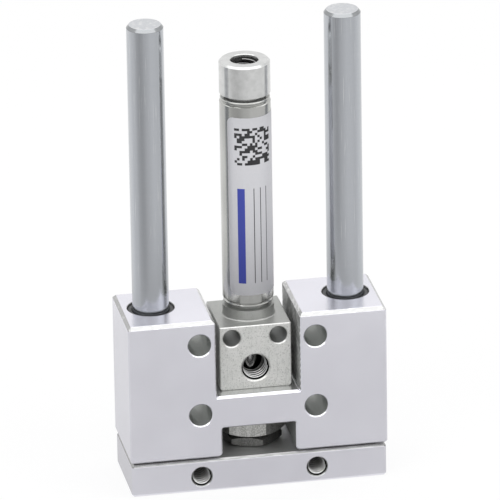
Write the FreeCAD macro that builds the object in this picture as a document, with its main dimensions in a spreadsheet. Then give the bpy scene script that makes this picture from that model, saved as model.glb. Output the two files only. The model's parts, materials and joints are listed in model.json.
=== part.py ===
"""Guided pneumatic cylinder with a 25.4 mm stroke, drawn in, standing on its tool plate.

X runs across the two guide rods, Y from the ported front to the back and Z up the rods.
The origin is the middle of the tool plate's lower face.  Lengths are in millimetres.
"""
import FreeCAD, Part
import os
import re
import Sketcher

SIZES = {
    # Travel, and the fits that pieces share
    "stroke": 25.4,
    "rest_gap": 0.45,                # between the tool plate and the bearing block
    "running_clearance": 0.05,       # all round a rod in its bushing
    "seat_clearance": 0.01,          # all round a pressed or screwed piece
    "roll_clearance": 0.1,
    # Guide rods
    "rod_line_offset": 0.66,         # behind the middle of the block and of the plate
    "guide_rod_dia": 6.35,
    "guide_rod_length": 80.25,
    "guide_rod_spacing": 34.2,
    "guide_rod_end_width": 0.43,
    "guide_rod_end_height": 0.55,
    "guide_rod_foot_chamfer": 0.3,
    "guide_rod_seat_depth": 2.4,
    "guide_rod_tap_depth": 8.0,
    # Flat-head screws that hold the guide rods
    "rod_screw_dia": 3.5,
    "rod_screw_length": 9.0,
    "rod_screw_head_dia": 6.6,
    "rod_screw_head_height": 1.8,
    "rod_screw_sink": 0.1,
    "rod_screw_clearance": 0.1,
    "rod_screw_socket": 2.0,
    "rod_screw_socket_depth": 1.0,
    # Guide bushings
    "bushing_wall": 0.88,
    "bushing_length": 8.0,
    "bushing_recess": 0.35,
    "bushing_chamfer": 0.2,
    "bushing_relief": 0.3,           # round the rod, between a bore's two bushings
    # Bearing block
    "block_width": 45.2,
    "block_depth": 16.2,
    "block_height": 25.4,
    "slot_width": 14.7,
    "slot_depth": 14.2,
    "web_thickness": 5.9,
    "window_width": 12.9,
    "tower_top_chamfer": 0.6,
    "block_edge_chamfer": 0.25,
    "web_edge_chamfer": 0.4,
    "block_inner_radius": 0.4,
    "tower_foot_radius": 0.8,
    "block_foot_radius": 0.5,
    "bore_mouth_chamfer": 0.1,
    "mount_hole_dia": 3.97,
    "mount_hole_spacing_across": 20.3,
    "mount_hole_spacing_up": 13.0,
    "mount_hole_drop": 4.35,
    "hole_edge_chamfer": 0.2,
    # Tool plate
    "plate_width": 44.8,
    "plate_depth": 15.8,
    "plate_thickness": 5.9,
    "plate_chamfer": 0.4,
    "tool_hole_dia": 3.5,
    "tool_hole_spacing": 20.3,
    "tool_hole_height": 2.8,
    "tool_hole_edge": 0.17,
    # Cylinder head
    "head_width": 12.6,
    "head_depth": 12.6,
    "head_height": 11.8,
    "head_foot_radius": 0.6,
    "head_edge_chamfer": 0.15,
    "side_hole_dia": 3.05,
    "side_hole_spacing": 8.16,
    "side_hole_drop": 2.17,
    "port_dia": 4.83,
    "port_mouth_dia": 5.3,
    "port_height": 3.92,
    "port_depth": 3.6,
    "port_passage_dia": 4.04,
    "boss_dia": 8.94,
    "boss_height": 1.9,
    "boss_fillet": 0.3,
    "spigot_length": 2.5,
    "spigot_clearance": 0.05,
    "chamber_gap": 0.6125,           # round the piston rod
    "nose_dia": 7.9,
    "nose_clearance": 0.1,
    "nose_overhang": 0.1,
    "nose_chamfer": 0.35,
    # Tube and its rolled ends
    "bore_dia": 7.94,
    "tube_wall": 0.45,
    "tube_end_gap": 0.6,
    "roll_height": 0.85,
    "lip_length": 0.35,
    "roll_depth_gap": 0.15,          # between the crease and the neck
    "lip_inset": 0.12,
    "crease_inset": 0.42,
    "roll_edge": 0.1,
    # End cap
    "cap_height": 5.95,
    "cap_chamfer": 0.35,
    "cap_foot_chamfer": 0.15,
    "cap_port_mouth_dia": 5.1,
    "cap_port_depth": 7.0,
    "air_passage_dia": 2.5,
    # Static seals
    "o_ring_section": 1.0,
    "o_ring_groove": 1.3,
    "o_ring_clearance": 0.02,
    # Rod, its bushing and its seal
    "piston_rod_dia": 3.175,
    "rod_foot_height": 0.8,
    "rod_foot_chamfer": 0.3,
    "rod_bushing_dia": 5.2,
    "rod_bushing_length": 4.8,
    "rod_bushing_recess": 0.3,
    "rod_bushing_chamfer": 0.2,
    "rod_seal_length": 1.5,
    "seal_clearance": 0.03,
    "seal_notch": 0.5,
    # Piston and its seals
    "piston_length": 4.9,
    "piston_clearance": 0.1,
    "end_clearance": 0.2,
    "piston_chamfer": 0.2,
    "piston_seat_dia": 2.4,
    "rivet_dia": 3.2,
    "rivet_height": 0.5,
    "seal_section": 1.27,
    "seal_groove_length": 1.4,
    "seal_groove_offset": 0.6,
    "seal_end_clearance": 0.05,
    # Hexagon nuts
    "mounting_nut_flats": 11.11,
    "mounting_nut_height": 3.6,
    "mounting_nut_turn": -15.0,      # degrees, as the nut came tight
    "jam_nut_flats": 9.53,
    "jam_nut_height": 1.8,
    "jam_nut_turn": -17.0,
    "nut_chamfer_inset": 0.2,
}

PLACES = {
    # Bearing block, up from its own lower face
    "block_bottom": "plate_thickness + rest_gap",
    "slot_floor": "block_height - slot_depth",
    "window_top": "slot_floor - web_thickness",
    "upper_hole_height": "block_height - mount_hole_drop",
    "lower_hole_height": "upper_hole_height - mount_hole_spacing_up",
    "bushing_dia": "guide_rod_dia + 2 * running_clearance + 2 * bushing_wall",
    "bushing_bore": "bushing_dia / 2 + seat_clearance",
    "bushing_depth": "bushing_recess + bushing_length",
    # Guide rods
    "guide_rod_bottom": "plate_thickness - guide_rod_seat_depth",
    "guide_rod_offset": "guide_rod_spacing / 2",
    # Head, up from its own lower face
    "head_bottom": "block_bottom + slot_floor",
    "nose_length": "web_thickness + mounting_nut_height + nose_overhang",
    "boss_top": "head_height + boss_height",
    "neck_length": "tube_end_gap + roll_height + roll_clearance",
    "chamber_dia": "piston_rod_dia + 2 * chamber_gap",
    "neck_dia": "bore_dia - 2 * crease_inset - 2 * roll_depth_gap",
    "spigot_dia": "bore_dia - 2 * spigot_clearance",
    "o_ring_seat": "bore_dia - 2 * o_ring_clearance - 2 * o_ring_section",
    "o_ring_inset": "(spigot_length - o_ring_groove) / 2",
    "rod_gland_depth": "rod_bushing_recess + rod_bushing_length + rod_seal_length",
    "rod_gland_bore": "rod_bushing_dia / 2 + seat_clearance",
    # Tube and cap
    "tube_dia": "bore_dia + 2 * tube_wall",
    "tube_bottom": "head_bottom + boss_top + tube_end_gap",
    "chamber_length": "stroke + piston_length + 2 * end_clearance",
    "shoulder_gap": "chamber_length + 2 * (neck_length + spigot_length)",
    "tube_length": "shoulder_gap - 2 * tube_end_gap",
    "cap_bottom": "head_bottom + boss_top + shoulder_gap",
    # Piston
    "piston_dia": "bore_dia - 2 * piston_clearance",
    "seal_groove_dia": "bore_dia - 2 * seal_section",
    "piston_top": "cap_bottom - neck_length - spigot_length - end_clearance",
    "piston_bottom": "piston_top - piston_length",
}

document = FreeCAD.newDocument("guided_pneumatic_cylinder")
sizes = document.addObject("Spreadsheet::Sheet", "sizes")
for row, (alias, size) in enumerate(SIZES.items(), start=1):
    sizes.set(f"A{row}", alias)
    sizes.set(f"B{row}", str(size))
    sizes.setAlias(f"B{row}", alias)
document.recompute()

sub_parts = []


def expand(expression):
    """Rewrite an expression of size and place names so that it refers to the sheet's cells."""
    def reference(word):
        name = word.group()
        if name in PLACES:
            return f"({expand(PLACES[name])})"
        return f"sizes.{name}"
    return re.sub(r"[a-z]\w+", reference, expression)


def value(expression):
    """The number that an expression comes to now."""
    return sizes.evalExpression(expand(expression))


def bind(thing, **expressions):
    """Tie properties to the sheet, each named with its dots written as two underscores."""
    for name, expression in expressions.items():
        thing.setExpression(name.replace("__", "."), expand(expression))


# ---------------------------------------------------------------- sketches and features

def new_body(label, across="0", up="0", back="rod_line_offset"):
    """An empty body for one sub-part, on the line of the rods unless it stands elsewhere."""
    body = document.addObject("PartDesign::Body", label)
    body.Label = label
    bind(body, Placement__Base__x=across, Placement__Base__y=back, Placement__Base__z=up)
    sub_parts.append(body)
    return body


def new_sketch(body, plane, offset="0"):
    """An empty sketch on one of the body's own origin planes, moved along its normal."""
    sketch = body.newObject("Sketcher::SketchObject", "Sketch")
    support = next(face for face in body.Origin.OriginFeatures if face.Role == plane)
    sketch.AttachmentSupport = [(support, "")]
    sketch.MapMode = "FlatFace"
    bind(sketch, AttachmentOffset__Base__z=offset)
    return sketch


def hold(sketch, geometry, point, across, up):
    """Dimension one point of a sketch from the sketch's origin."""
    for direction, distance in (("DistanceX", across), ("DistanceY", up)):
        rule = Sketcher.Constraint(direction, -1, 1, geometry, point, value(distance))
        number = sketch.addConstraint(rule)
        sketch.setExpression(f"Constraints[{number}]", expand(distance))


def outline(sketch, points):
    """A closed outline of straight lines, with every corner dimensioned."""
    corners = [FreeCAD.Vector(value(across), value(up), 0) for across, up in points]
    lines = [Part.LineSegment(corners[n - 1], corner) for n, corner in enumerate(corners)]
    first = sketch.addGeometry(lines, False)[0]
    for n, (across, up) in enumerate(points):
        following = (n + 1) % len(points)
        sketch.addConstraint(Sketcher.Constraint("Coincident", first + n, 2, first + following, 1))
        hold(sketch, first + n, 2, across, up)


def circle(sketch, across, up, radius):
    """A circle whose centre and radius are dimensioned."""
    centre = FreeCAD.Vector(value(across), value(up), 0)
    geometry = sketch.addGeometry(Part.Circle(centre, FreeCAD.Vector(0, 0, 1), value(radius)))
    hold(sketch, geometry, 3, across, up)
    number = sketch.addConstraint(Sketcher.Constraint("Radius", geometry, value(radius)))
    sketch.setExpression(f"Constraints[{number}]", expand(radius))


def axis_line(sketch, start, end):
    """A construction line for a revolve to turn about."""
    ends = [FreeCAD.Vector(value(across), value(up), 0) for across, up in (start, end)]
    geometry = sketch.addGeometry(Part.LineSegment(*ends), True)
    for point, (across, up) in ((1, start), (2, end)):
        hold(sketch, geometry, point, across, up)


def feature(body, kind, sketch, **expressions):
    """A feature made from a sketch, with its sizes tied to the sheet."""
    made = body.newObject(f"PartDesign::{kind}", kind)
    made.Profile = sketch
    bind(made, **expressions)
    sketch.Visibility = False
    return made


def turned(body, points, kind="Revolution", axis=None, plane="XZ_Plane", offset="0"):
    """A full turn of an outline, about the sketch's upright axis unless a line is given."""
    sketch = new_sketch(body, plane, offset)
    if axis:
        axis_line(sketch, *axis)
    outline(sketch, points)
    made = feature(body, kind, sketch)
    made.ReferenceAxis = (sketch, ["Axis0" if axis else "V_Axis"])
    made.Angle = 360
    document.recompute()
    return made


def cut_through(body, plane, outlines=(), circles=()):
    """Cut outlines and round holes right through the body, at right angles to a plane."""
    sketch = new_sketch(body, plane)
    for points in outlines:
        outline(sketch, points)
    for across, up, radius in circles:
        circle(sketch, across, up, radius)
    made = feature(body, "Pocket", sketch)
    made.SideType = "Symmetric"
    made.Type = "ThroughAll"
    document.recompute()
    return made


def top_corner(across, inward, up, size):
    """The triangle that a 45 degree bevel takes off an upper corner."""
    return [(across, up), (f"{across} {inward} {size}", up), (across, f"{up} - {size}")]


def mirrored(body, original):
    """The same feature again on the other side of the middle."""
    made = body.newObject("PartDesign::Mirrored", "Mirrored")
    made.Originals = [original]
    plane = next(face for face in body.Origin.OriginFeatures if face.Role == "YZ_Plane")
    made.MirrorPlane = (plane, [""])
    body.Tip = made
    document.recompute()
    return made


def dressed(body, kind, wanted, **expressions):
    """A fillet or chamfer on those edges of the body that a test picks."""
    base = body.Tip
    names = [f"Edge{n}" for n, edge in enumerate(base.Shape.Edges, start=1) if wanted(edge)]
    made = body.newObject(f"PartDesign::{kind}", kind)
    made.Base = (base, names)
    bind(made, **expressions)
    document.recompute()
    return made


def near(a, b):
    return abs(a - b) < 0.001


def is_line(edge):
    return edge.Curve.TypeId == "Part::GeomLine"


def runs_along(edge, axis):
    """Whether a straight edge runs along one axis: 0 for X, 1 for Y and 2 for Z."""
    if not is_line(edge):
        return False
    direction = edge.tangentAt(edge.FirstParameter)
    return near(abs(direction[axis]), 1)


def is_circle(edge, radius):
    return edge.Curve.TypeId == "Part::GeomCircle" and near(edge.Curve.Radius, radius)


# ---------------------------------------------------------------- bearing block

def make_bearing_block():
    """An H of clear-anodised aluminium: two towers for the rods, and a web for the cylinder."""
    body = new_body("bearing_block", up="block_bottom", back="0")
    side, slot, window = "block_width / 2", "slot_width / 2", "window_width / 2"
    sketch = new_sketch(body, "XZ_Plane")
    outline(sketch, [
        (f"-{side}", "0"), (f"-{window}", "0"), (f"-{window}", "window_top"),
        (window, "window_top"), (window, "0"), (side, "0"),
        (side, "block_height"), (slot, "block_height"), (slot, "slot_floor"),
        (f"-{slot}", "slot_floor"), (f"-{slot}", "block_height"), (f"-{side}", "block_height"),
    ])
    pad = feature(body, "Pad", sketch, Length="block_depth")
    pad.SideType = "Symmetric"
    document.recompute()

    half_width, half_depth = value(side), value("block_depth / 2")
    half_slot, half_window = value(slot), value(window)
    floor, ceiling = value("slot_floor"), value("window_top")

    def corner_at(edge, across, up):
        centre = edge.CenterOfMass
        return runs_along(edge, 1) and near(abs(centre.x), across) and near(centre.z, up)

    dressed(body, "Fillet", lambda edge: corner_at(edge, half_window, 0),
            Radius="tower_foot_radius")
    dressed(body, "Fillet", lambda edge: corner_at(edge, half_width, 0),
            Radius="block_foot_radius")
    dressed(body, "Fillet", lambda edge: corner_at(edge, half_window, ceiling)
            or corner_at(edge, half_slot, floor), Radius="block_inner_radius")

    def upright_outside(edge):
        centre = edge.CenterOfMass
        return runs_along(edge, 2) and near(abs(centre.y), half_depth) and centre.z > floor / 2 \
            and (near(abs(centre.x), half_width) or near(abs(centre.x), half_slot))

    dressed(body, "Chamfer", upright_outside, Size="block_edge_chamfer")
    cut_through(body, "XZ_Plane", [
        top_corner(f"{sign}{edge}", inward, "block_height", "tower_top_chamfer")
        for sign, inward, edge in (("-", "+", side), ("", "-", side),
                                   ("-", "-", slot), ("", "+", slot))
    ])
    cut_through(body, "YZ_Plane", [
        top_corner(f"{sign}block_depth / 2", inward, "block_height", "tower_top_chamfer")
        for sign, inward in (("-", "+"), ("", "-"))
    ])
    web_bevel = cut_through(body, "YZ_Plane", [
        top_corner(f"{sign}block_depth / 2", inward, "slot_floor", "web_edge_chamfer")
        for sign, inward in (("-", "+"), ("", "-"))
    ])
    web_bevel.Type = "Length"
    bind(web_bevel, Length="slot_width")
    document.recompute()

    axis_across = "guide_rod_offset"
    relief = "guide_rod_dia / 2 + bushing_relief"
    bore = turned(body, [
        (axis_across, "0"),
        (f"{axis_across} + bushing_bore + bore_mouth_chamfer", "0"),
        (f"{axis_across} + bushing_bore", "bore_mouth_chamfer"),
        (f"{axis_across} + bushing_bore", "bushing_depth"),
        (f"{axis_across} + {relief}", "bushing_depth"),
        (f"{axis_across} + {relief}", "block_height - bushing_depth"),
        (f"{axis_across} + bushing_bore", "block_height - bushing_depth"),
        (f"{axis_across} + bushing_bore", "block_height - bore_mouth_chamfer"),
        (f"{axis_across} + bushing_bore + bore_mouth_chamfer", "block_height"),
        (axis_across, "block_height"),
    ], kind="Groove", axis=((axis_across, "0"), (axis_across, "block_height")),
        offset="-rod_line_offset")
    mirrored(body, bore)

    cut_through(body, "XZ_Plane", circles=[
        (f"{sign}mount_hole_spacing_across / 2", height, "mount_hole_dia / 2")
        for sign in ("-", "") for height in ("lower_hole_height", "upper_hole_height")
    ])
    dressed(body, "Chamfer", lambda edge: is_circle(edge, value("mount_hole_dia / 2")),
            Size="hole_edge_chamfer")
    cut_through(body, "XY_Plane", circles=[("0", "rod_line_offset", "nose_dia / 2 + nose_clearance")])


def make_guide_bushings():
    """Four plain bushings pressed into the ends of the two rod bores."""
    inner, outer = "guide_rod_dia / 2 + running_clearance", "bushing_dia / 2"
    for side, sign in (("left", "-"), ("right", "")):
        for level, up in (
            ("lower", "block_bottom + bushing_recess"),
            ("upper", "block_bottom + block_height - bushing_depth"),
        ):
            body = new_body(f"guide_bushing_{level}_{side}", f"{sign}guide_rod_offset", up)
            turned(body, [
                (f"{inner} + bushing_chamfer", "0"), (f"{outer} - bushing_chamfer", "0"),
                (outer, "bushing_chamfer"), (outer, "bushing_length - bushing_chamfer"),
                (f"{outer} - bushing_chamfer", "bushing_length"),
                (f"{inner} + bushing_chamfer", "bushing_length"),
                (inner, "bushing_length - bushing_chamfer"), (inner, "bushing_chamfer"),
            ])


# ---------------------------------------------------------------- cylinder

def static_spigot(start, direction):
    """Outline of a spigot with its O-ring groove, from the neck to the chamber end."""
    step = f" {direction} "
    wall = "spigot_dia / 2"
    return [
        ("neck_dia / 2", f"{start}"),
        ("neck_dia / 2", f"{start}{step}neck_length"),
        (wall, f"{start}{step}neck_length"),
        (wall, f"{start}{step}(neck_length + o_ring_inset)"),
        ("o_ring_seat / 2", f"{start}{step}(neck_length + o_ring_inset)"),
        ("o_ring_seat / 2", f"{start}{step}(neck_length + o_ring_inset + o_ring_groove)"),
        (wall, f"{start}{step}(neck_length + o_ring_inset + o_ring_groove)"),
        (wall, f"{start}{step}(neck_length + spigot_length)"),
    ]


def make_cylinder_head():
    """A square ported block, with a nose through the web below and a spigot in the tube above."""
    body = new_body("cylinder_head", up="head_bottom")
    side, depth = "head_width / 2", "head_depth / 2"
    sketch = new_sketch(body, "XY_Plane")
    outline(sketch, [(f"-{side}", f"-{depth}"), (side, f"-{depth}"), (side, depth),
                     (f"-{side}", depth)])
    feature(body, "Pad", sketch, Length="head_height")
    document.recompute()
    half_width, top = value(side), value("head_height")
    dressed(body, "Fillet", lambda edge: runs_along(edge, 1) and near(edge.BoundBox.ZMax, 0),
            Radius="head_foot_radius")
    dressed(body, "Chamfer", lambda edge: runs_along(edge, 2) or near(edge.BoundBox.ZMin, top),
            Size="head_edge_chamfer")

    turned(body, [
        ("0", "-nose_length"), ("nose_dia / 2 - nose_chamfer", "-nose_length"),
        ("nose_dia / 2", "-nose_length + nose_chamfer"), ("nose_dia / 2", "head_foot_radius"),
        ("boss_dia / 2", "head_foot_radius"), ("boss_dia / 2", "boss_top"),
        *static_spigot("boss_top", "+"),
        ("0", "boss_top + neck_length + spigot_length"),
    ])
    dressed(body, "Fillet", lambda edge: is_circle(edge, value("boss_dia / 2"))
            and near(edge.CenterOfMass.z, top), Radius="boss_fillet")

    gland_top = "rod_gland_depth - nose_length"
    turned(body, [
        ("0", "-nose_length"), ("rod_gland_bore", "-nose_length"), ("rod_gland_bore", gland_top),
        ("chamber_dia / 2", gland_top),
        ("chamber_dia / 2", "boss_top + neck_length + spigot_length"),
        ("0", "boss_top + neck_length + spigot_length"),
    ], kind="Groove")

    mouth_depth = "(port_mouth_dia - port_dia) / 2"
    turned(body, [
        (f"-{depth}", "port_height"), (f"-{depth}", "port_height + port_mouth_dia / 2"),
        (f"-{depth} + {mouth_depth}", "port_height + port_dia / 2"),
        (f"-{depth} + port_depth", "port_height + port_dia / 2"),
        (f"-{depth} + port_depth", "port_height + port_passage_dia / 2"),
        ("0", "port_height + port_passage_dia / 2"), ("0", "port_height"),
    ], kind="Groove", plane="YZ_Plane", axis=((f"-{depth}", "port_height"), ("0", "port_height")))

    cut_through(body, "XZ_Plane", circles=[
        (f"{sign}side_hole_spacing / 2", "head_height - side_hole_drop", "side_hole_dia / 2")
        for sign in ("-", "")
    ])
    dressed(body, "Chamfer", lambda edge: is_circle(edge, value("side_hole_dia / 2")),
            Size="hole_edge_chamfer")


def rolled_end(end, direction):
    """Outer and inner walls of a tube end that is rolled in: a crease, then a turned lip."""
    outer, inner = "tube_dia / 2", "bore_dia / 2"
    lip_end = f"{end} {direction} lip_length"
    crease = f"{end} {direction} (lip_length + roll_height) / 2"
    straight = f"{end} {direction} roll_height"
    outside = [(f"{outer} - lip_inset", end), (f"{outer} - lip_inset", lip_end),
               (f"{outer} - crease_inset", crease), (outer, straight)]
    inside = [(f"{inner} - lip_inset", end), (f"{inner} - lip_inset", lip_end),
              (f"{inner} - crease_inset", crease), (inner, straight)]
    return outside, inside


def make_cylinder_tube():
    """Thin stainless tube with both ends rolled into the necks of the head and the cap."""
    body = new_body("cylinder_tube", up="tube_bottom")
    lower_outside, lower_inside = rolled_end("0", "+")
    upper_outside, upper_inside = rolled_end("tube_length", "-")
    turned(body, lower_outside + upper_outside[::-1] + upper_inside + lower_inside[::-1])
    creases = (value("tube_dia / 2 - crease_inset"), value("bore_dia / 2 - crease_inset"))
    lips = (value("tube_dia / 2 - lip_inset"),)
    dressed(body, "Chamfer", lambda edge: any(is_circle(edge, radius) for radius in creases + lips),
            Size="roll_edge")


def make_end_cap():
    """Turned cap with the rear port, an air passage and the same spigot as the head."""
    body = new_body("end_cap", up="cap_bottom")
    outer, port, passage = "tube_dia / 2", "port_dia / 2", "air_passage_dia / 2"
    mouth = "cap_port_mouth_dia / 2"
    port_floor = "cap_height - cap_port_depth"
    turned(body, [
        (passage, "-neck_length - spigot_length"),
        *static_spigot("0", "-")[::-1],
        (f"{outer} - cap_foot_chamfer", "0"), (outer, "cap_foot_chamfer"),
        (outer, "cap_height - cap_chamfer"),
        (f"{outer} - cap_chamfer", "cap_height"), (mouth, "cap_height"),
        (port, f"cap_height - ({mouth} - {port})"), (port, port_floor),
        (passage, f"{port_floor} - ({port} - {passage})"),
    ])


def make_o_rings():
    """O-rings in the spigots of the head and the cap, with eight-sided sections."""
    half, corner = "o_ring_section * 0.5", "o_ring_section * 0.2071"
    centre = "(o_ring_seat + o_ring_section) / 2"
    section = [
        (f"{centre} {out}", up) for out, up in (
            (f"- {half}", f"-{corner}"), (f"- {corner}", f"-{half}"),
            (f"+ {corner}", f"-{half}"), (f"+ {half}", f"-{corner}"),
            (f"+ {half}", corner), (f"+ {corner}", half),
            (f"- {corner}", half), (f"- {half}", corner),
        )
    ]
    from_shoulder = "neck_length + o_ring_inset + o_ring_groove / 2"
    for label, up in (
        ("head_o_ring", f"head_bottom + boss_top + {from_shoulder}"),
        ("cap_o_ring", f"cap_bottom - ({from_shoulder})"),
    ):
        turned(new_body(label, up=up), section)


def make_rod_bushing():
    """Bronze bushing pressed up into the head's nose."""
    body = new_body("rod_bushing", up="head_bottom - nose_length + rod_bushing_recess")
    inner, outer = "piston_rod_dia / 2 + running_clearance", "rod_bushing_dia / 2"
    turned(body, [
        (f"{inner} + rod_bushing_chamfer", "0"), (f"{outer} - rod_bushing_chamfer", "0"),
        (outer, "rod_bushing_chamfer"), (outer, "rod_bushing_length"),
        (inner, "rod_bushing_length"), (inner, "rod_bushing_chamfer"),
    ])


def lipped_seal(label, up, inner, outer, length, notch_side):
    """A seal ring with a V notch that the air opens, in its upper or its lower face."""
    body = new_body(label, up=up)
    middle = f"(({inner}) + ({outer})) / 2"
    corners = [(inner, "0"), (outer, "0"), (outer, length), (inner, length)]
    if notch_side == "upper":
        notch_floor, rim = f"{length} - seal_notch", length
        corners[3:3] = [(f"{middle} + seal_notch / 2", rim), (middle, notch_floor),
                        (f"{middle} - seal_notch / 2", rim)]
    else:
        corners[1:1] = [(f"{middle} - seal_notch / 2", "0"), (middle, "seal_notch"),
                        (f"{middle} + seal_notch / 2", "0")]
    turned(body, corners)


def make_seals():
    """The rod seal above the rod bushing, and the piston's two seals."""
    lipped_seal("rod_seal",
                "head_bottom - nose_length + rod_bushing_recess + rod_bushing_length",
                "piston_rod_dia / 2 + seal_clearance", "rod_gland_bore - seat_clearance",
                "rod_seal_length", "upper")
    inner, outer = "seal_groove_dia / 2 + seat_clearance", "bore_dia / 2 - seal_clearance"
    length = "seal_groove_length - 2 * seal_end_clearance"
    lipped_seal("piston_seal_front", "piston_bottom + seal_groove_offset + seal_end_clearance",
                inner, outer, length, "lower")
    lipped_seal("piston_seal_rear",
                "piston_top - seal_groove_offset - seal_groove_length + seal_end_clearance",
                inner, outer, length, "upper")


# ---------------------------------------------------------------- rod, piston and nuts

def make_piston():
    """Aluminium piston with a groove for each seal, held by the rod's riveted end."""
    body = new_body("piston", up="piston_bottom")
    outer, groove = "piston_dia / 2", "seal_groove_dia / 2"
    bore = "piston_seat_dia / 2 + seat_clearance"
    front_end = "seal_groove_offset + seal_groove_length"
    rear_start = "piston_length - seal_groove_offset - seal_groove_length"
    rear_end = "piston_length - seal_groove_offset"
    turned(body, [
        (bore, "0"), (f"{outer} - piston_chamfer", "0"), (outer, "piston_chamfer"),
        (outer, "seal_groove_offset"), (groove, "seal_groove_offset"),
        (groove, front_end), (outer, front_end), (outer, rear_start), (groove, rear_start),
        (groove, rear_end), (outer, rear_end), (outer, "piston_length - piston_chamfer"),
        (f"{outer} - piston_chamfer", "piston_length"),
        ("rivet_dia / 2 + seat_clearance", "piston_length"),
        (bore, "piston_length - rivet_height - seat_clearance"),
    ])


def make_piston_rod():
    """Ground stainless rod, screwed into the tool plate and riveted over the piston."""
    body = new_body("piston_rod", up="rod_foot_height")
    shoulder, top = "piston_bottom - rod_foot_height", "piston_top - rod_foot_height"
    turned(body, [
        ("0", "0"), ("piston_rod_dia / 2 - rod_foot_chamfer", "0"),
        ("piston_rod_dia / 2", "rod_foot_chamfer"), ("piston_rod_dia / 2", shoulder),
        ("piston_seat_dia / 2", shoulder), ("piston_seat_dia / 2", f"{top} - rivet_height"),
        ("rivet_dia / 2", top), ("0", top),
    ])


def hexagon_nut(label, up, turn, flats, height, thread_dia):
    """A thin hexagon nut with both rims of its corners turned off."""
    body = new_body(label, up=up)
    body.setExpression("Placement.Rotation.Angle", expand(turn))
    prism = body.newObject("PartDesign::AdditivePrism", "Prism")
    prism.Polygon = 6
    bind(prism, Height=height)
    prism.setExpression("Circumradius", f"{expand(flats)} / sqrt(3)")
    document.recompute()
    sketch = new_sketch(body, "XZ_Plane")
    start, reach = f"{flats} / 2 - nut_chamfer_inset", f"{flats} * 0.6"
    drop = f"({flats} * 0.1 + nut_chamfer_inset) / 2"
    outline(sketch, [(start, "0"), (reach, "0"), (reach, drop)])
    outline(sketch, [(start, height), (reach, f"{height} - {drop}"), (reach, height)])
    rims = feature(body, "Groove", sketch)
    rims.ReferenceAxis = (sketch, ["V_Axis"])
    rims.Angle = 360
    document.recompute()
    cut_through(body, "XY_Plane", circles=[("0", "0", f"{thread_dia} / 2 + seat_clearance")])
    dressed(body, "Chamfer",
            lambda edge: is_circle(edge, value(f"{thread_dia} / 2 + seat_clearance")),
            Size="hole_edge_chamfer")


def make_nuts():
    """The nut that pulls the head down on the web, and the nut that locks the rod."""
    hexagon_nut("mounting_nut", "block_bottom + window_top - mounting_nut_height",
                "mounting_nut_turn", "mounting_nut_flats", "mounting_nut_height", "nose_dia")
    hexagon_nut("rod_jam_nut", "plate_thickness",
                "jam_nut_turn", "jam_nut_flats", "jam_nut_height", "piston_rod_dia")


# ---------------------------------------------------------------- tool plate and guide rods

def make_tool_plate():
    """The plate that carries the tool: rods seated from above, screws sunk from below."""
    body = new_body("tool_plate", back="0")
    side, depth = "plate_width / 2", "plate_depth / 2"
    sketch = new_sketch(body, "XY_Plane")
    outline(sketch, [(f"-{side}", f"-{depth}"), (side, f"-{depth}"), (side, depth),
                     (f"-{side}", depth)])
    feature(body, "Pad", sketch, Length="plate_thickness")
    document.recompute()
    dressed(body, "Chamfer", is_line, Size="plate_chamfer")

    across = "guide_rod_offset"
    head = "rod_screw_head_dia / 2 + rod_screw_clearance"
    shank = "rod_screw_dia / 2 + rod_screw_clearance"
    rod = "guide_rod_dia / 2 + seat_clearance"
    sunk = turned(body, [
        (across, "0"), (f"{across} + {head}", "0"), (f"{across} + {head}", "rod_screw_sink"),
        (f"{across} + {shank}", "rod_screw_sink + rod_screw_head_height"),
        (f"{across} + {shank}", "guide_rod_bottom"), (f"{across} + {rod}", "guide_rod_bottom"),
        (f"{across} + {rod}", "plate_thickness"), (across, "plate_thickness"),
    ], kind="Groove", axis=((across, "0"), (across, "plate_thickness")),
        offset="-rod_line_offset")
    mirrored(body, sunk)

    cut_through(body, "XY_Plane", circles=[
        ("0", "rod_line_offset", "piston_rod_dia / 2 + seat_clearance"),
    ])
    cut_through(body, "XZ_Plane", circles=[
        (f"{sign}tool_hole_spacing / 2", "tool_hole_height", "tool_hole_dia / 2")
        for sign in ("-", "")
    ])
    dressed(body, "Chamfer", lambda edge: is_circle(edge, value("tool_hole_dia / 2")),
            Size="tool_hole_edge")


def make_guide_rods():
    """Two ground steel rods, bevelled at the top and tapped at the foot."""
    outer, tap = "guide_rod_dia / 2", "rod_screw_dia / 2 + seat_clearance"
    for side, sign in (("left", "-"), ("right", "")):
        body = new_body(f"guide_rod_{side}", f"{sign}guide_rod_offset", "guide_rod_bottom")
        turned(body, [
            (tap, "0"), (f"{outer} - guide_rod_foot_chamfer", "0"),
            (outer, "guide_rod_foot_chamfer"),
            (outer, "guide_rod_length - guide_rod_end_height"),
            (f"{outer} - guide_rod_end_width", "guide_rod_length"),
            ("0", "guide_rod_length"), ("0", f"guide_rod_tap_depth + ({tap}) / 2"),
            (tap, "guide_rod_tap_depth"),
        ])


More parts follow.
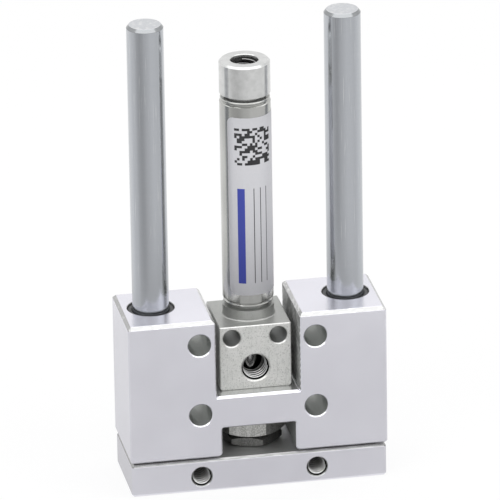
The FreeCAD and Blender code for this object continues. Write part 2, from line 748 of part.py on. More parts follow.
def make_guide_rod_screws():
    """Two flat-head socket screws, one up into the foot of each guide rod, as one group."""
    screws = []
    for side, sign in (("left", "-"), ("right", "")):
        head = document.addObject("Part::Cone", f"screw_head_{side}")
        bind(head, Radius1="rod_screw_head_dia / 2", Radius2="rod_screw_dia / 2",
             Height="rod_screw_head_height")
        shank = document.addObject("Part::Cylinder", f"screw_shank_{side}")
        bind(shank, Radius="rod_screw_dia / 2", Height="rod_screw_length")
        blank = document.addObject("Part::Fuse", f"screw_blank_{side}")
        blank.Base, blank.Tool = head, shank
        socket = document.addObject("Part::Prism", f"screw_socket_{side}")
        socket.Polygon = 6
        bind(socket, Height="rod_screw_socket_depth")
        socket.setExpression("Circumradius", f"{expand('rod_screw_socket')} / sqrt(3)")
        screw = document.addObject("Part::Cut", f"screw_{side}")
        screw.Base, screw.Tool = blank, socket
        bind(screw, Placement__Base__x=f"{sign}guide_rod_offset",
             Placement__Base__y="rod_line_offset", Placement__Base__z="rod_screw_sink")
        screws.append(screw)
    group = document.addObject("Part::Compound", "guide_rod_screws")
    group.Label = "guide_rod_screws"
    group.Links = screws
    document.recompute()
    sub_parts.append(group)


make_bearing_block()
make_guide_bushings()
make_cylinder_head()
make_cylinder_tube()
make_end_cap()
make_o_rings()
make_rod_bushing()
make_seals()
make_piston()
make_piston_rod()
make_nuts()
make_tool_plate()
make_guide_rods()
make_guide_rod_screws()
document.recompute()

for thing in document.Objects:
    if {"Invalid", "Error"} & set(thing.State):
        raise RuntimeError(f"{thing.Label} did not build: {thing.State}")

os.makedirs("parts", exist_ok=True)
for sub_part in sub_parts:
    shape = sub_part.Shape
    if shape.isNull() or not shape.isValid() or not shape.Solids:
        raise RuntimeError(f"{sub_part.Label} has no valid solid")
    shape.exportStep(f"parts/{sub_part.Label}.step")
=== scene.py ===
"""The looks of a guided pneumatic cylinder with two guide rods, in metres."""
import json
import math

import bmesh
import bpy
from mathutils import Matrix, Vector


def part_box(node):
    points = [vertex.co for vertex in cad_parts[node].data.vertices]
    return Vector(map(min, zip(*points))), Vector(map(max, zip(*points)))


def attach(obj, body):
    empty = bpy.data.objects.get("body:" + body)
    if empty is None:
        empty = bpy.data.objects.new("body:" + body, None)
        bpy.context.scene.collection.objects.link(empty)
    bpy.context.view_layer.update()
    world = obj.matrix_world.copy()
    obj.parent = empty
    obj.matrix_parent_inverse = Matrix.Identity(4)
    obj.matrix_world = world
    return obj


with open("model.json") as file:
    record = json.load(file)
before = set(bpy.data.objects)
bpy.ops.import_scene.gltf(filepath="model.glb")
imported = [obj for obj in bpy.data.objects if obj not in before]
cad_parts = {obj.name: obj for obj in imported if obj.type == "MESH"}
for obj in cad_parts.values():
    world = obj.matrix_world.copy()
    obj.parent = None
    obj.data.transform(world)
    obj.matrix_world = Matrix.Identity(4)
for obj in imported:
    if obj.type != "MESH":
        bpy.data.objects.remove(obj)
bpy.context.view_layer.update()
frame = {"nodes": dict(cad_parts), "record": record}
nodes = frame["nodes"]
mounts = {mount["name"]: mount for mount in frame["record"]["mounts"]}


# ---------------------------------------------------------------- tool plate
# The plate that carries the tool: sawn from aluminium bar, milled and clear anodised.
# Two tapped holes go through it from front to back, and the rods' screws sink into its underside.

class Value:
    """One shader socket.  Arithmetic on it adds Math nodes to the socket's tree."""

    def __init__(self, shader, socket):
        self.shader, self.socket = shader, socket

    def math(self, operation, *others):
        sockets = dict(enumerate((self, *others)))
        return self.shader.node("Math", {"operation": operation}, sockets)

    def __add__(self, other):
        return self.math("ADD", other)

    def __sub__(self, other):
        return self.math("SUBTRACT", other)

    def __mul__(self, other):
        return self.math("MULTIPLY", other)

    def __truediv__(self, other):
        return self.math("DIVIDE", other)

    def __radd__(self, other):
        return self.math("ADD", other)

    def __rmul__(self, other):
        return self.math("MULTIPLY", other)

    def __rsub__(self, other):
        return self.shader.node("Math", {"operation": "SUBTRACT"}, {0: other, 1: self})

    def __gt__(self, other):
        return self.math("GREATER_THAN", other)

    def __lt__(self, other):
        return self.math("LESS_THAN", other)

    def __abs__(self):
        return self.math("ABSOLUTE")

    def between(self, low, high):
        """1 where the value lies between two others, else 0."""
        return (self > low) * (self < high)

    def fade(self, start, end):
        """0 at start rising smoothly to 1 at end."""
        sockets = {"Value": self, "From Min": start, "From Max": end}
        return self.shader.node("MapRange", {"interpolation_type": "SMOOTHSTEP"}, sockets)


class Shader:
    """The node tree of one material or world, built a node at a time."""

    def __init__(self, tree):
        self.tree = tree

    def node(self, kind, settings=None, sockets=None, output=0):
        """Add a node, choose its settings, feed its sockets and hand back one output."""
        made = self.tree.nodes.new("ShaderNode" + kind)
        for name, setting in (settings or {}).items():
            if name == "stops":
                self.place_stops(made.color_ramp, setting)
            else:
                setattr(made, name, setting)
        for name, value in (sockets or {}).items():
            self.feed(made.inputs[name], value)
        return Value(self, made.outputs[output])

    def place_stops(self, ramp, stops):
        """Give a ramp its stops, each a position and a colour."""
        while len(ramp.elements) < len(stops):
            ramp.elements.new(1.0)
        for element, (position, colour) in zip(ramp.elements, stops):
            element.position = position
            element.color = colour

    def feed(self, socket, value):
        """Link a value to a socket, or write a constant on it."""
        if isinstance(value, Value):
            self.tree.links.new(value.socket, socket)
        else:
            socket.default_value = value

    def place(self):
        """The point being shaded, as its X, Y and Z in metres."""
        point = self.node("TexCoord", output="Object")
        return [self.node("SeparateXYZ", sockets={0: point}, output=axis) for axis in range(3)]

    def grain(self, size, stretch=(1, 1, 1), detail=3, seed=0):
        """Noise from 0 to 1 with features of about one size in metres, drawn out along axes."""
        point = self.node("TexCoord", output="Object")
        scale = [1 / (size * length) for length in stretch]
        moved = self.node("Mapping", sockets={"Vector": point, "Scale": scale,
                                              "Location": (seed, seed, seed)})
        return self.node("TexNoise", sockets={"Vector": moved, "Scale": 1, "Detail": detail})

    def blend(self, factor, first, second, how="MIX"):
        """Mix two colours."""
        settings = {"data_type": "RGBA", "blend_type": how}
        return self.node("Mix", settings, {0: factor, 6: first, 7: second}, output=2)

    def bump(self, height, depth):
        """A normal from a height of 0 to 1 that stands for a depth in metres."""
        return self.node("Bump", sockets={"Height": height, "Distance": depth, "Strength": 1})


class Finish(Shader):
    """A material on one Principled shader."""

    def __init__(self, name, **constants):
        self.material = bpy.data.materials.new(name)
        self.material.use_nodes = True
        super().__init__(self.material.node_tree)
        self.surface = self.tree.nodes["Principled BSDF"]
        for socket, constant in constants.items():
            self.surface.inputs[socket.replace("_", " ")].default_value = constant

    def set(self, **sockets):
        """Feed the shader's own sockets by name."""
        for name, value in sockets.items():
            self.feed(self.surface.inputs[name.replace("_", " ")], value)

    def cover(self, *names):
        """Put the finish on CAD nodes."""
        for name in names:
            for slot in nodes[name].material_slots:
                slot.material = self.material


def grey(level, warmth=0.0, green=0.0):
    """A near-neutral colour."""
    return (level * (1 + warmth), level * (1 + green), level * (1 - warmth), 1)


def anodised(name, level, seed):
    """Clear-anodised milled aluminium: a fine grain, faint cutter lines and soft clouding."""
    finish = Finish(name, Metallic=0.8, IOR=1.5)
    grain = finish.grain(0.00014, seed=seed)
    lines = finish.grain(0.00025, stretch=(30, 30, 1), seed=seed + 3)
    cloud = finish.grain(0.007, seed=seed + 5)
    plain, clouded, grained = (grey(level * share, -0.034, -0.042) for share in (1, 0.96, 0.86))
    tone = finish.blend(cloud.fade(0.3, 0.75), clouded, plain)
    tone = finish.blend(grain.fade(0.55, 0.8) * 0.4, tone, grained)
    roughness = 0.18 + 0.06 * lines + 0.05 * grain
    finish.set(Base_Color=tone, Roughness=roughness,
               Normal=finish.bump(grain * 0.7 + lines * 0.3, 0.000006))
    return finish, tone, roughness


# A hair's breadth tells a face from the bevel or wall beside it.
hair = 0.00002


def upper_bevel(x, y, z, high, drop):
    """1 on the bevels round a block's top, between its top face and its sides."""
    return z.between(high[2] - drop, high[2] - hair) \
        * (abs(x) < high[0] - hair) * (abs(y) < high[1] - hair)


def inside(radius, off_x, off_y):
    """1 within a radius of a hole's middle line."""
    return off_x * off_x + off_y * off_y < radius ** 2


plate_bevel, mouth_bevel, edge_line = 0.00045, 0.00018, 0.00012
plate_finish, tone, roughness = anodised("plate anodised aluminium", 0.83, seed=1)
plate_low, plate_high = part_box("tool_plate")
x, y, z = plate_finish.place()
on_top = z > plate_high[2] - hair
on_bevel = upper_bevel(x, y, z, plate_high, plate_bevel)
# Painted shade: the bevel round the plate's top is painted dark grey to dull its highlight,
# mottled between two greys like wear.
wear_and_bevel_shade = plate_finish.grain(0.0003, stretch=(8, 1, 1), detail=4, seed=9).fade(0.45, 0.62)
tone = plate_finish.blend(on_bevel, tone, plate_finish.blend(wear_and_bevel_shade, grey(0.30), grey(0.42)))
# Painted shade: the plate's whole top face is painted a darker grey, standing for the shade under
# the block.
tone = plate_finish.blend(on_top, tone, grey(0.50, 0.0, 0.01))
tapped = mounts["tool_plate_hole_right"]
off_x, off_z = abs(x) - tapped["pos_m"][0], z - tapped["pos_m"][2]
mouth_radius = tapped["dims"]["r_mm"] / 1000 + mouth_bevel
in_hole = inside(mouth_radius, off_x, off_z) * (y > plate_low[1] + hair)
# Painted shade: the tapped holes and their bevelled mouths are painted dark grey.
tone = plate_finish.blend(in_hole, tone, grey(0.30, 0.0, 0.02))
on_side = abs(x) > plate_high[0] - hair
# Painted shade: the plate's side faces are painted a little darker.
tone = plate_finish.blend(on_side, tone, grey(0.88), "MULTIPLY")
# Painted shade: thin dark lines along the plate's front and back edges, at its sides and at its
# foot.
near_side = abs(x) > plate_high[0] - edge_line
near_floor = z < plate_low[2] + edge_line
near_face = abs(y) > plate_high[1] - edge_line
corner_shade_line = near_face * near_side.math("MAXIMUM", near_floor)
tone = plate_finish.blend(corner_shade_line, tone, grey(0.30))
plate_finish.set(Base_Color=tone, Roughness=roughness + 0.25 * on_top)
plate_finish.cover("tool_plate")


def finished_piece(name, bm, smooth=False):
    """Turn a bmesh into an object at the origin."""
    mesh = bpy.data.meshes.new(name)
    bm.to_mesh(mesh)
    bm.free()
    if smooth:
        mesh.shade_smooth()
        mesh.set_sharp_from_angle(angle=math.radians(35))
    piece = bpy.data.objects.new(name, mesh)
    bpy.context.collection.objects.link(piece)
    return piece


def threaded(name, mouth, leaving, wall_radius, length, pitch, depth):
    """The ridge of a thread: a closed helical rib that stands in from a tapped hole's wall."""
    steps = 32
    turns = length / pitch - 1
    sunk = depth * 0.1
    profile = ((sunk, 0.02), (-depth, 0.45), (-depth, 0.55), (sunk, 0.98))
    bm = bmesh.new()
    rib = [bm.verts.new((wall_radius + outward, 0, up * pitch)) for outward, up in profile]
    section = bm.faces.new(rib)
    bmesh.ops.spin(bm, geom=[section, *section.edges, *rib], cent=(0, 0, 0),
                   axis=(0, 0, 1), dvec=(0, 0, pitch / steps),
                   angle=math.tau * turns, steps=round(steps * turns))
    bmesh.ops.remove_doubles(bm, verts=bm.verts, dist=1e-7)
    bmesh.ops.recalc_face_normals(bm, faces=bm.faces)
    depth_map = bm.loops.layers.uv.new("depth")
    for face in bm.faces:
        for loop in face.loops:
            loop[depth_map].uv = ((wall_radius - loop.vert.co.xy.length) / depth, 0)
    into_hole = Vector((0, 0, 1)).rotation_difference(-Vector(leaving)).to_matrix().to_4x4()
    bmesh.ops.transform(bm, verts=bm.verts, matrix=Matrix.Translation(mouth) @ into_hole)
    return finished_piece(name, bm, smooth=True)


def cut_thread(name, crest):
    """A cut thread, painted near black at the root and lighter towards the crest: painted shade
    in its flanks and a painted highlight on its crest.
    """
    finish = Finish(name, Metallic=0.8, Roughness=0.4)
    inward = finish.node("SeparateXYZ", sockets={0: finish.node("UVMap", {"uv_map": "depth"})})
    finish.set(Base_Color=finish.blend(inward.fade(0.66, 0.80), grey(0.004), grey(crest)),
               Normal=finish.bump(finish.grain(0.0001), 0.000006))
    return finish


plate_thread = cut_thread("thread cut in the plate", 0.95)
thread_pitch = 0.000794
plate_rib_depth, plate_rib_start, plate_rib_length = 0.00034, 0.0001, 0.0154
for side in ("left", "right"):
    hole = mounts[f"tool_plate_hole_{side}"]
    mouth = Vector(hole["pos_m"])
    mouth.y = plate_low[1] + plate_rib_start
    rib = threaded(f"tool_thread_{side}", mouth, hole["axis"], hole["dims"]["r_mm"] / 1000,
                   plate_rib_length, thread_pitch, plate_rib_depth)
    rib.data.materials.append(plate_thread.material)
    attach(rib, "carriage")


# ---------------------------------------------------------------- guide rods and their screws
# Two hardened steel shafts, centreless ground and polished, bevelled at the free end.
# A black flat-head socket screw comes up through the plate into the foot of each.

rod_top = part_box("guide_rod_left")[1][2]
rod_bevel = 0.0006
for side in ("left", "right"):
    ground = Finish(f"ground guide rod {side}", Metallic=1.0)
    x, y, z = ground.place()
    rings = ground.grain(0.00007, stretch=(50, 50, 1), seed=2)
    scratch = ground.grain(0.00014, stretch=(1, 1, 50), detail=3, seed=7).fade(0.63, 0.72)
    on_end = z > rod_top - hair
    on_bevel = z.between(rod_top - rod_bevel, rod_top - hair)
    spiral = ground.grain(0.0005, seed=9).fade(0.45, 0.75)
    tone = ground.blend(rings, grey(0.52, -0.048, -0.01), grey(0.57, -0.045, -0.012))
    tone = ground.blend(scratch * 0.45, tone, grey(0.80))
    tone = ground.blend(on_bevel, tone, grey(0.34, -0.03))
    tone = ground.blend(on_end * (0.25 + 0.5 * spiral), tone, grey(0.82))
    ground.set(Base_Color=tone, Roughness=0.12 + 0.10 * rings + 0.14 * on_end,
               Normal=ground.bump(rings * 0.6 + scratch * 0.4, 0.000002))
    ground.cover(f"guide_rod_{side}")

black_oxide = Finish("black oxide screw", Metallic=0.9, Base_Color=grey(0.05), Roughness=0.42)
black_oxide.set(Normal=black_oxide.bump(black_oxide.grain(0.0001), 0.00001))
black_oxide.cover("guide_rod_screws")


# ---------------------------------------------------------------- bearing block
# An H of aluminium bar, milled all over and clear anodised, with bright bevelled edges whose
# colour is painted darker, a painted shade that tones their highlights down.
# The slot that takes the head was cut from the side, which left slanting cutter marks.

block_low, block_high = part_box("bearing_block")
slot_half, slot_floor, wall_margin, floor_margin = 0.00735, 0.01755, 0.0001, 0.00005
window_half, window_top = 0.0065, 0.0117
top_bevel, web_bevel = 0.0006, 0.0005
hole_margin, cutter_step = 0.00003, 0.0011
block_finish, tone, roughness = anodised("block anodised aluminium", 0.86, seed=11)
x, y, z = block_finish.place()
pattern = mounts["block_mount_holes"]
hole_x, hole_z = (pattern["dims"][key] / 2000 for key in ("spacing_x_mm", "spacing_y_mm"))
off_x, off_z = abs(x) - hole_x, abs(z - pattern["pos_m"][2]) - hole_z
in_hole = inside(pattern["dims"]["hole_r_mm"] / 1000 + hole_margin, off_x, off_z)
in_slot = abs(x).between(slot_half - wall_margin, slot_half + wall_margin) \
    * (z > slot_floor + floor_margin)
in_window = (abs(x) < window_half) * (z < window_top)
on_slot_floor = (abs(x) < slot_half) * (y > block_low[1] + web_bevel) \
    * z.between(slot_floor - floor_margin, slot_floor + floor_margin)
slant = block_finish.grain(0.0016, seed=13) * 5 + (y * 1.5 + z) * (math.tau / cutter_step)
marks = slant.math("SINE").fade(-0.2, 0.6)
uneven = block_finish.grain(0.0016, seed=15).fade(0.35, 0.6)
# Painted shade: the mounting holes are painted a darker grey.
tone = block_finish.blend(in_hole, tone, grey(0.43, 0.0, 0.03))
# Painted shade: the inside of the window under the web is painted dark grey.
tone = block_finish.blend(in_window, tone, grey(0.20, 0.0, 0.03))
# Painted shade: the strip of the slot floor along the head is painted a darker grey.
tone = block_finish.blend(on_slot_floor, tone, grey(0.64, 0.0, 0.01))
# Painted shade: the slot's side walls are painted dark grey; the slanting cutter marks on them
# are drawn lighter.
tone = block_finish.blend(in_slot, tone, grey(0.20, 0.0, 0.02))
tone = block_finish.blend(in_slot * marks * uneven * 0.8, tone, grey(0.7))
# Painted shade: the bevels round the block's top are painted darker grey, those along its outer
# sides darker still, mottled between two greys like wear.
rim = upper_bevel(x, y, z, block_high, top_bevel)
wear_and_bevel_shade = block_finish.grain(0.0003, stretch=(5, 5, 1), detail=4, seed=17).fade(0.48, 0.7)
tone = block_finish.blend(rim, tone, block_finish.blend(wear_and_bevel_shade, grey(0.52), grey(0.78)))
outer_rim = rim * (abs(x) > block_high[0] - top_bevel)
tone = block_finish.blend(outer_rim, tone, block_finish.blend(wear_and_bevel_shade, grey(0.42), grey(0.52)))
# Painted shade: thin dark lines along the block's vertical front and back corners.
corner_shade_line = (abs(x) > block_high[0] - edge_line) * (abs(y) > block_high[1] - edge_line)
tone = block_finish.blend(corner_shade_line, tone, grey(0.36))
shaded = in_window.math("MAXIMUM", in_slot)
block_finish.set(Base_Color=tone, Roughness=roughness + 0.4 * shaded,
                 Metallic=0.8 - 0.45 * shaded)
block_finish.cover("bearing_block")


# ---------------------------------------------------------------- guide bushings
# Two plain bushings for each rod, moulded from a dark self-lubricating composite.
# They are pressed into the block's bores until they lie just below its faces.

composite = Finish("bushing composite", Metallic=0.0, Roughness=0.5)
fibre = composite.grain(0.00018, seed=21)
composite.set(Base_Color=composite.blend(fibre.fade(0.4, 0.7), grey(0.035), grey(0.11, -0.03)),
              Normal=composite.bump(fibre, 0.00001))
composite.cover(*(name for name in nodes if name.startswith("guide_bushing")))


# ---------------------------------------------------------------- cylinder head and end cap
# The head is milled from bar and the cap is turned: both are plated, and look warmer and
# more speckled than the block.  Each has a tapped port.

def plated(name, level, seed):
    """Electroless-plated metal: satin, with fine dark and light pits."""
    finish = Finish(name, Metallic=0.7)
    pits = finish.grain(0.00022, detail=4, seed=seed)
    cloud = finish.grain(0.003, seed=seed + 2)
    scratch = finish.grain(0.0003, stretch=(1, 1, 12), detail=5, seed=seed + 4).fade(0.60, 0.68)
    tone = finish.blend(cloud.fade(0.3, 0.7), grey(level * 0.92, 0.012, 0.022),
                        grey(level, 0.012, 0.012))
    tone = finish.blend(pits.fade(0.55, 0.66) * 0.65, tone, grey(level * 0.55, 0.01, 0.02))
    tone = finish.blend(pits.fade(0.40, 0.30) * 0.5, tone, grey(0.85, 0.01, 0.01))
    tone = finish.blend(scratch * 0.35, tone, grey(level * 0.6, 0.0, 0.03))
    finish.set(Base_Color=tone, Roughness=0.30 + 0.12 * pits,
               Normal=finish.bump(pits, 0.000014))
    return finish, tone


head_low, head_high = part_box("cylinder_head")
chamber_radius, chamber_top = 0.0023, head_low[2] + 0.0205
port_start, port_end, port_margin = head_low[1] + 0.0003, head_low[1] + 0.0037, 0.0002
shoulder_drop = 0.00215
head_finish, tone = plated("plated head", 0.72, seed=31)
x, y, z = head_finish.place()
bores = mounts["head_side_holes"]
bore_x, bore_z = bores["dims"]["spacing_x_mm"] / 2000, bores["pos_m"][2]
in_bore = inside(bores["dims"]["hole_r_mm"] / 1000 + hole_margin, abs(x) - bore_x, z - bore_z)
low_inside = inside(chamber_radius, x, y - (head_low[1] + head_high[1]) / 2) * (z < chamber_top)
head_port = mounts["head_port"]
port_radius = head_port["dims"]["r_mm"] / 1000 + port_margin
in_port = inside(port_radius, x, z - head_port["pos_m"][2]) * y.between(port_start, port_end)
on_top = z > bore_z + shoulder_drop
# Painted shade: the head's top face and boss are painted a darker grey.
tone = head_finish.blend(on_top * 0.75, tone, grey(0.32, 0.01, 0.03))
# Painted shade: the side bores are painted a darker grey.
tone = head_finish.blend(in_bore, tone, grey(0.36, 0.0, 0.02))
# Painted shade: the port's mouth and threaded part are painted dark grey.
tone = head_finish.blend(in_port, tone, grey(0.20, 0.0, 0.02))
# Painted shade: inside the chamber, low down, the head is painted near black.
tone = head_finish.blend(low_inside, tone, grey(0.06))
head_finish.set(Base_Color=tone)
head_finish.cover("cylinder_head")

cap_low, cap_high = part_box("end_cap")
rod_line, cap_top = (cap_low[1] + cap_high[1]) / 2, cap_high[2]
rear_port_reach, rear_port_depth, rear_port_bevel = 0.0025, 0.007, 0.00045
turned_cap = Finish("turned plated cap", Metallic=0.75)
turning = turned_cap.grain(0.00005, stretch=(60, 60, 1), seed=41)
dull = turned_cap.grain(0.0012, seed=43)
scuffs = turned_cap.grain(0.0003, detail=5, seed=45).fade(0.66, 0.74)
tone = turned_cap.blend(dull.fade(0.3, 0.7), grey(0.60, 0.0, 0.008), grey(0.67, 0.0, 0.006))
tone = turned_cap.blend(scuffs * 0.4, tone, grey(0.42))
x, y, z = turned_cap.place()
in_rear_port = inside(rear_port_reach, x, y - rod_line) \
    * z.between(cap_top - rear_port_depth, cap_top - rear_port_bevel)
# Painted shade: the rear port below its bevel is painted dark grey.
tone = turned_cap.blend(in_rear_port, tone, grey(0.22, 0.0, 0.01))
turned_cap.set(Base_Color=tone, Roughness=0.11 + 0.08 * turning,
               Normal=turned_cap.bump(turning, 0.000006))
turned_cap.cover("end_cap")

rear_port = mounts["rear_port"]
port_rib_depth, head_rib_start, cap_rib_start = 0.00036, 0.00018, 0.0004
head_mouth, cap_mouth = Vector(head_port["pos_m"]), Vector(rear_port["pos_m"])
head_mouth.y = head_low[1] + head_rib_start
cap_mouth.z = cap_top - cap_rib_start
for name, port, mouth, length, crest in (
        ("head_port_thread", head_port, head_mouth, 0.0036, 0.72),
        ("rear_port_thread", rear_port, cap_mouth, 0.0060, 0.30)):
    rib = threaded(name, mouth, port["axis"], port["dims"]["r_mm"] / 1000, length,
                   thread_pitch, port_rib_depth)
    rib.data.materials.append(cut_thread(f"{name} finish", crest).material)
    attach(rib, "cylinder_body")


# ---------------------------------------------------------------- tube and its label
# Thin drawn stainless tube, polished round, with both ends rolled in.
# A printed film label is wrapped round it.

stainless = Finish("stainless tube", Metallic=1.0)
polish = stainless.grain(0.00005, stretch=(50, 50, 1), seed=51)
cloud = stainless.grain(0.003, stretch=(1, 1, 3), seed=53)
stainless.set(
    Base_Color=stainless.blend(cloud.fade(0.3, 0.7), grey(0.46, 0.014, 0.02),
                               grey(0.53, 0.012, 0.016)),
    Roughness=0.13 + 0.10 * polish, Normal=stainless.bump(polish, 0.000005))
stainless.cover("cylinder_tube")

tube_low, tube_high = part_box("cylinder_tube")
tube_radius = (tube_high[0] - tube_low[0]) / 2
label_bottom, label_top = 0.0342, 0.0668
label_left, label_sweep = math.radians(-54), math.radians(300)
label_width = tube_radius * label_sweep
label_height = label_top - label_bottom
label_corner, film_thickness = 0.0011, 0.00006

bm = bmesh.new()
bmesh.ops.create_grid(bm, x_segments=1, y_segments=1, size=0.5)
bmesh.ops.scale(bm, vec=(label_width, label_height, 1), verts=bm.verts)
bmesh.ops.bevel(bm, geom=bm.verts[:], offset=label_corner, affect="VERTICES", segments=6,
                profile=0.5, material=-1)
strips = 96
for strip in range(1, strips):
    cut = label_width * (strip / strips - 0.5)
    bmesh.ops.bisect_plane(bm, geom=bm.verts[:] + bm.edges[:] + bm.faces[:],
                           plane_co=(cut, 0, 0), plane_no=(1, 0, 0))
print_map = bm.loops.layers.uv.new("print")
for face in bm.faces:
    for loop in face.loops:
        loop[print_map].uv = (loop.vert.co.x + label_width / 2, loop.vert.co.y + label_height / 2)
radius = tube_radius + film_thickness
for vert in bm.verts:
    angle = label_left + label_sweep * (vert.co.x / label_width + 0.5)
    vert.co = (radius * math.sin(angle), rod_line - radius * math.cos(angle),
               label_bottom + label_height / 2 + vert.co.y)
label = finished_piece("tube_label", bm, smooth=True)
skin = label.modifiers.new("film", "SOLIDIFY")
skin.thickness = film_thickness
skin.offset = -1

film = Finish("printed film", Metallic=0.0, Roughness=0.45, Specular_IOR_Level=0.25)
flat = film.node("UVMap", {"uv_map": "print"})
across, up = (film.node("SeparateXYZ", sockets={0: flat}, output=axis) for axis in range(2))


def printed_box(left, bottom, width, height):
    """1 inside a rectangle of the print, measured from the label's lower left corner."""
    return across.between(left, left + width) * up.between(bottom, bottom + height)


# A block of square cells filled at random, which stands for nothing.
cell, cells_each_way = 0.00045, 15
cells_left, cells_bottom = 0.0014, 0.0240
cells_size = cell * cells_each_way
column = ((across - cells_left) / cell).math("FLOOR")
row = ((up - cells_bottom) / cell).math("FLOOR")
cell_place = film.node("CombineXYZ", sockets={0: column, 1: row, 2: 7})
chance = film.node("TexWhiteNoise", {"noise_dimensions": "3D"}, {"Vector": cell_place})
cell_block = printed_box(cells_left, cells_bottom, cells_size, cells_size) * (chance > 0.5)

# One plain blue stripe, and ruled lines to write on.
print_bottom, print_height = 0.0022, 0.0175
ruled_left, ruled_step, ruled_share = 0.0046, 0.0012, 0.12
blue_stripe = printed_box(0.0018, print_bottom, 0.0013, print_height)
ruled = printed_box(ruled_left, print_bottom, ruled_step * 3, print_height) \
    * ((across - ruled_left) / ruled_step).math("FRACT").between(0.0, ruled_share)

pale, paler = (0.50, 0.50, 0.525, 1), (0.545, 0.545, 0.57, 1)
blue, black = (0.045, 0.06, 0.32, 1), (0.02, 0.02, 0.022, 1)
fibres = film.grain(0.0004, seed=61)
tone = film.blend(fibres, pale, paler)
tone = film.blend(blue_stripe, tone, blue)
tone = film.blend(cell_block.math("MAXIMUM", ruled), tone, black)
film.set(Base_Color=tone, Normal=film.bump(fibres, 0.000004))
label.data.materials.append(film.material)
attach(label, "cylinder_body")


# ---------------------------------------------------------------- nuts
# Two thin hexagon nuts of zinc-plated steel, bevelled on both faces.
# One pulls the head down on the web, and one locks the piston rod to the plate.

# Painted shade: the jam nut's zinc is painted far darker than the mounting nut's.
for nut, level, seed in (("mounting_nut", 0.62, 71), ("rod_jam_nut", 0.22, 73)):
    zinc = Finish(f"zinc plated {nut}", Metallic=0.85)
    speckle = zinc.grain(0.00022, detail=5, seed=seed)
    wipe = zinc.grain(0.0012, stretch=(0.6, 0.6, 3), seed=seed + 1)
    tone = zinc.blend(speckle.fade(0.42, 0.62), grey(level * 0.6, 0.02, 0.02),
                      grey(level, 0.015, 0.015))
    tone = zinc.blend(wipe.fade(0.45, 0.65) * 0.4, tone, grey(level * 1.15, 0.015, 0.01))
    zinc.set(Base_Color=tone, Roughness=0.24 + 0.15 * speckle,
             Normal=zinc.bump(speckle, 0.000010))
    zinc.cover(nut)


# ---------------------------------------------------------------- rod, piston and inner pieces
# The rod is ground and polished stainless, the piston turned aluminium, the seals moulded
# nitrile rubber and the rod's bushing oiled bronze.

polished = Finish("polished piston rod", Metallic=1.0, Base_Color=grey(0.48), Roughness=0.2)
polished.set(Normal=polished.bump(polished.grain(0.00005, stretch=(40, 40, 1)), 0.000003))
polished.cover("piston_rod")

turned_piston = Finish("turned piston", Metallic=0.9, Base_Color=grey(0.76), Roughness=0.3)
turned_piston.set(Normal=turned_piston.bump(
    turned_piston.grain(0.00006, stretch=(40, 40, 1), seed=81), 0.000006))
turned_piston.cover("piston")

nitrile = Finish("nitrile rubber", Base_Color=grey(0.02), Roughness=0.55)
nitrile.set(Normal=nitrile.bump(nitrile.grain(0.0002, seed=83), 0.00001))
nitrile.cover("piston_seal_front", "piston_seal_rear", "rod_seal", "head_o_ring", "cap_o_ring")

bronze = Finish("oiled bronze", Metallic=0.9, Base_Color=(0.55, 0.36, 0.17, 1), Roughness=0.4)
bronze.set(Normal=bronze.bump(bronze.grain(0.00015, seed=85), 0.000012))
bronze.cover("rod_bushing")


# ---------------------------------------------------------------- floor, light and camera
# The part stands on a white sweep, under a broad soft light and two weaker ones at the sides.
# A long lens looks down on it from a little to the left.

bm = bmesh.new()
bmesh.ops.create_grid(bm, x_segments=1, y_segments=1, size=3)
floor = finished_piece("floor", bm)
sweep = Finish("white sweep", Base_Color=grey(0.85), Roughness=0.9)
glow = sweep.node("Emission", sockets={"Color": (1, 1, 1, 1), "Strength": 1.0})
matt = Value(sweep, sweep.surface.outputs[0])


def seen_directly(shader):
    """1 for what the camera sees itself, or in metal, or through something clear."""
    kinds = [shader.node("LightPath", output=f"Is {kind} Ray")
             for kind in ("Camera", "Glossy", "Transmission")]
    return kinds[0].math("MAXIMUM", kinds[1]).math("MAXIMUM", kinds[2])


glow_share = 0.85
mixed = sweep.node("MixShader", sockets={
    0: seen_directly(sweep) * glow_share, 1: matt, 2: glow})
sweep.feed(sweep.tree.nodes["Material Output"].inputs["Surface"], mixed)
floor.data.materials.append(sweep.material)

# Grey cards stand round the object, out of view, so that the polished steel has tones to show.
bm = bmesh.new()
profile = [bm.verts.new(point) for point in (
    (0, -0.004, 0.0003), (0, -0.06, 0.0008), (0, -0.25, 0.012), (0, -0.5, 0.11),
    (0, -0.55, 0.34))]
edges = [bm.edges.new(pair) for pair in zip(profile, profile[1:])]
bmesh.ops.spin(bm, geom=profile + edges, cent=(0, 0, 0), axis=(0, 0, 1), angle=math.tau,
               steps=72, use_merge=True)
cards = finished_piece("cards", bm, smooth=True)
card = Finish("grey card", Base_Color=(0, 0, 0, 1), Roughness=1.0)
x, y, z = card.place()
turn = x.math("ARCTAN2", 0 - y) / math.tau + 0.5
tones = card.node("ValToRGB", {"stops": [
    (0.00, grey(0.95)), (0.17, grey(0.93)), (0.22, grey(0.80)), (0.27, grey(0.74)),
    (0.31, grey(0.56)), (0.365, grey(0.47)), (0.40, grey(0.50)), (0.44, grey(0.61)),
    (0.51, grey(0.71)), (0.55, grey(0.77)), (0.63, grey(0.76)), (0.69, grey(0.72)),
    (0.75, grey(0.84)), (0.83, grey(0.90)), (1.00, grey(0.95))]}, {"Fac": turn})
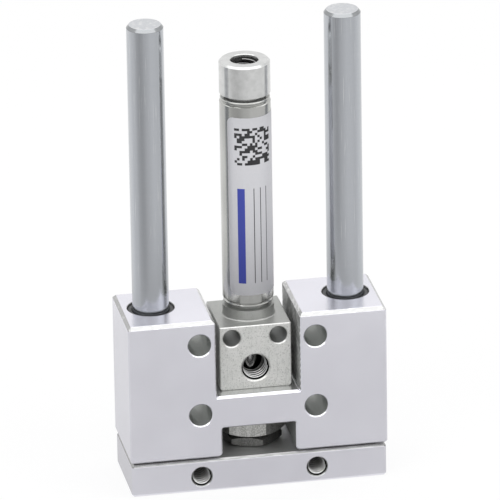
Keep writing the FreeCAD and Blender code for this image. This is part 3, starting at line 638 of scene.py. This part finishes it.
# Painted shadow: close to the object the cards are painted darker, standing for the object's
# shadow on the floor as the metal reflects it.
floor_shadow_tones = card.node("ValToRGB", {"stops": [
    (0.00, grey(0.74)), (0.25, grey(0.66)), (0.45, grey(0.55)), (0.60, grey(0.55)),
    (0.75, grey(0.66)), (1.00, grey(0.74))]}, {"Fac": turn})
reach = (x * x + y * y).math("SQRT")
near_reach, far_reach = 0.07, 0.11
tones = card.blend(reach.fade(near_reach, far_reach), floor_shadow_tones, tones)
card.set(Emission_Color=tones, Emission_Strength=1.0)
cards.data.materials.append(card.material)
for kind in ("camera", "diffuse", "transmission", "shadow"):
    setattr(cards, f"visible_{kind}", False)

world = bpy.data.worlds.new("studio")
bpy.context.scene.world = world
world.use_nodes = True
studio = Shader(world.node_tree)
shown = studio.blend(seen_directly(studio), grey(0.62), (1, 1, 1, 1))
studio.feed(studio.tree.nodes["Background"].inputs["Color"], shown)

lit_point = Vector((0, 0, 0.035))
for name, place, size, power in (
        ("overhead", (0.0, -0.1, 0.75), 1.4, 6.0),
        ("left", (-0.7, -0.6, 0.5), 0.5, 1.6),
        ("right", (0.8, -0.5, 0.45), 0.5, 1.6)):
    lamp = bpy.data.lights.new(name, "AREA")
    lamp.shape = "SQUARE"
    lamp.size = size
    lamp.energy = power
    holder = bpy.data.objects.new(name, lamp)
    bpy.context.collection.objects.link(holder)
    aim = (lit_point - Vector(place)).to_track_quat("-Z", "Y")
    holder.matrix_world = Matrix.Translation(place) @ aim.to_matrix().to_4x4()

camera_place = (-0.21478, -1.18671, 0.52808)
azimuth, elevation, roll = (math.radians(angle) for angle in (-10.275, 21.989, -0.931))
back = Vector((math.sin(azimuth) * math.cos(elevation), -math.cos(azimuth) * math.cos(elevation),
               math.sin(elevation)))
level = back.cross((0, 0, -1)).normalized()
level_up = back.cross(level)
right = math.cos(roll) * level + math.sin(roll) * level_up
up = math.cos(roll) * level_up - math.sin(roll) * level
lens = bpy.data.cameras.new("camera")
lens.sensor_width = 36
lens.lens = 543.6
lens.clip_end = 10
camera = bpy.data.objects.new("camera", lens)
bpy.context.collection.objects.link(camera)
turned = Matrix((right, up, back)).transposed().to_4x4()
camera.matrix_world = Matrix.Translation(camera_place) @ turned
bpy.context.scene.camera = camera
bpy.context.scene.view_settings.view_transform = "Standard"
